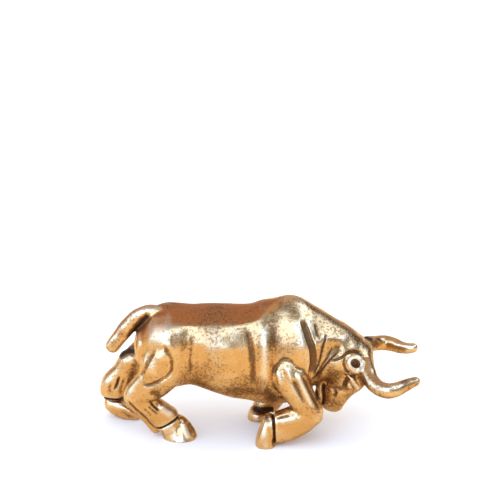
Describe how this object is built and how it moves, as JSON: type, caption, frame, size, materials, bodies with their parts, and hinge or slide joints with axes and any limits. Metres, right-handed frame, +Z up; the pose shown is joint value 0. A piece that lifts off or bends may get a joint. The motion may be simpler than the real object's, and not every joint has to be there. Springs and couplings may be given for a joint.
{
  "type": "bull sculpture",
  "caption": "Small solid brass bull, charging with its head down, cast in one piece and standing on its own feet.",
  "frame": {"origin": "on the plane that the feet stand on, under the middle of the whole bull", "axes": "+X towards the horns, along the bull's length; +Z up; the right flank is on the -Y side"},
  "size_m": [0.0524, 0.0212, 0.0237],
  "materials": {
    "brass": "polished brass with dark patina in the cuts and speckled flanks"
  },
  "bodies": {
    "root": {"bull": "brass"}
  },
  "joints": []
}
